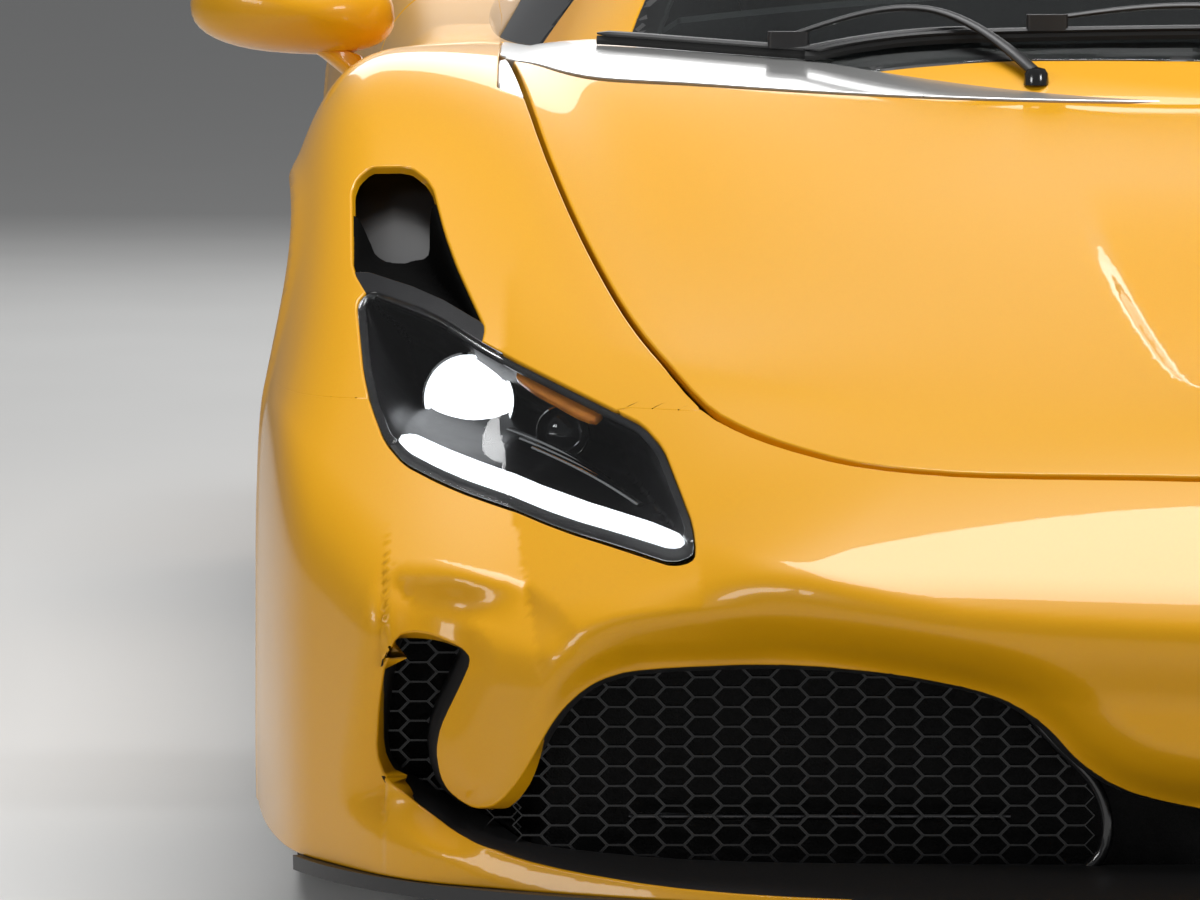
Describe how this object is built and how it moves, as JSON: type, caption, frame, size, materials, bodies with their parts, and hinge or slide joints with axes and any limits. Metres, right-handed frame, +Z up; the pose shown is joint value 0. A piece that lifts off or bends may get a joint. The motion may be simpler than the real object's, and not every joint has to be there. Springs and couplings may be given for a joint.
{
  "type": "mid-engined two-seat supercar",
  "caption": "Low mid-engined two-seat coupe with hinged doors, bonnet and engine cover, steered front wheels and four free-turning wheels.",
  "frame": {"origin": "on the ground under the middle of the car's box", "axes": "-Y ahead of the nose, +X to the car's left, +Z up"},
  "size_m": [2.174, 4.6088, 1.207],
  "materials": {
    "body_paint": "deep yellow clear-coated paint",
    "silver_paint": "satin silver paint",
    "clear_glass": "clear",
    "lamp_glass": "clear polycarbonate",
    "aluminium_tub": "satin dark",
    "aluminium_arms": "cast satin",
    "engine_metal": "cast",
    "seat_leather": "black grained",
    "dash_plastic": "black soft touch",
    "lamp_housing": "dark gloss",
    "black_plastic": "satin black",
    "red_lens": "red gloss",
    "steel": "brushed",
    "tyre_rubber": "black",
    "dark_alloy": "dark satin",
    "disc_steel": "machined"
  },
  "bodies": {
    "root": {"front_bumper": "body_paint", "front_wing_left": "body_paint", "front_wing_right": "body_paint", "cowl_panel": "silver_paint", "rear_quarter_left": "body_paint", "rear_quarter_right": "body_paint", "sills": "body_paint", "roof_frame": "body_paint", "rear_bumper": "body_paint", "windscreen": "clear_glass", "chassis_tub": "aluminium_tub", "hinge_pins": "steel", "suspension_front": "aluminium_arms", "suspension_rear": "aluminium_arms", "engine": "engine_metal", "seats": "seat_leather", "dashboard": "dash_plastic", "headlamp_lenses": "lamp_glass", "headlamps": "lamp_housing", "lamp_ducts": "black_plastic", "tail_lamps": "red_lens", "front_grilles": "black_plastic", "front_splitter": "black_plastic", "rear_diffuser": "black_plastic", "exhaust_pipes": "steel", "wipers": "black_plastic", "rear_grille": "black_plastic", "rear_window": "clear_glass"},
    "bonnet": {"bonnet": "body_paint"},
    "engine_cover": {"engine_cover": "body_paint"},
    "door_left": {"door_left": "body_paint", "door_glass_left": "clear_glass", "mirror_left": "body_paint"},
    "door_right": {"door_right": "body_paint", "door_glass_right": "clear_glass", "mirror_right": "body_paint"},
    "steering_wheel": {"steering_wheel": "seat_leather"},
    "knuckle_left": {"knuckle_front_left": "aluminium_arms"},
    "knuckle_right": {"knuckle_front_right": "aluminium_arms"},
    "wheel_front_left": {"tyre_front_left": "tyre_rubber", "rim_front_left": "dark_alloy", "hub_disc_front_left": "disc_steel"},
    "wheel_front_right": {"tyre_front_right": "tyre_rubber", "rim_front_right": "dark_alloy", "hub_disc_front_right": "disc_steel"},
    "wheel_rear_left": {"tyre_rear_left": "tyre_rubber", "rim_rear_left": "dark_alloy", "hub_disc_rear_left": "disc_steel"},
    "wheel_rear_right": {"tyre_rear_right": "tyre_rubber", "rim_rear_right": "dark_alloy", "hub_disc_rear_right": "disc_steel"}
  },
  "joints": [
    {"name": "bonnet_hinge", "type": "hinge", "parent": "root", "child": "bonnet", "pos_m": [0, -0.917, 0.7], "axis": [-1, 0, 0], "range_deg": [0, 40]},
    {"name": "engine_cover_hinge", "type": "hinge", "parent": "root", "child": "engine_cover", "pos_m": [0, 0.7, 1.085], "axis": [1, 0, 0], "range_deg": [0, 40]},
    {"name": "door_left_hinge", "type": "hinge", "parent": "root", "child": "door_left", "pos_m": [0.8695, -0.666, 0.535], "axis": [0, 0, -1], "range_deg": [0, 58]},
    {"name": "door_right_hinge", "type": "hinge", "parent": "root", "child": "door_right", "pos_m": [-0.8695, -0.666, 0.535], "axis": [0, 0, 1], "range_deg": [0, 58]},
    {"name": "steer_left", "type": "hinge", "parent": "root", "child": "knuckle_left", "pos_m": [0.7505, -1.1855, 0.34], "axis": [0, 0, 1], "range_deg": [-32, 32]},
    {"name": "steer_right", "type": "hinge", "parent": "root", "child": "knuckle_right", "pos_m": [-0.7505, -1.1855, 0.34], "axis": [0, 0, 1], "range_deg": [-32, 32]},
    {"name": "steering_wheel_turn", "type": "hinge", "parent": "root", "child": "steering_wheel", "pos_m": [0.37, -0.25, 0.7], "axis": [0, 0.9135, 0.4067], "range_deg": [-450, 450]},
    {"name": "spin_front_left", "type": "hinge", "parent": "knuckle_left", "child": "wheel_front_left", "pos_m": [0.8385, -1.1855, 0.34], "axis": [1, 0, 0], "continuous": true},
    {"name": "spin_front_right", "type": "hinge", "parent": "knuckle_right", "child": "wheel_front_right", "pos_m": [-0.8385, -1.1855, 0.34], "axis": [1, 0, 0], "continuous": true},
    {"name": "spin_rear_left", "type": "hinge", "parent": "root", "child": "wheel_rear_left", "pos_m": [0.823, 1.4645, 0.3455], "axis": [1, 0, 0], "continuous": true},
    {"name": "spin_rear_right", "type": "hinge", "parent": "root", "child": "wheel_rear_right", "pos_m": [-0.823, 1.4645, 0.3455], "axis": [1, 0, 0], "continuous": true}
  ],
  "couplings": [
    {"joint": "steer_right", "follows": "steer_left", "ratio": 1},
    {"joint": "steering_wheel_turn", "follows": "steer_left", "ratio": 14}
  ]
}
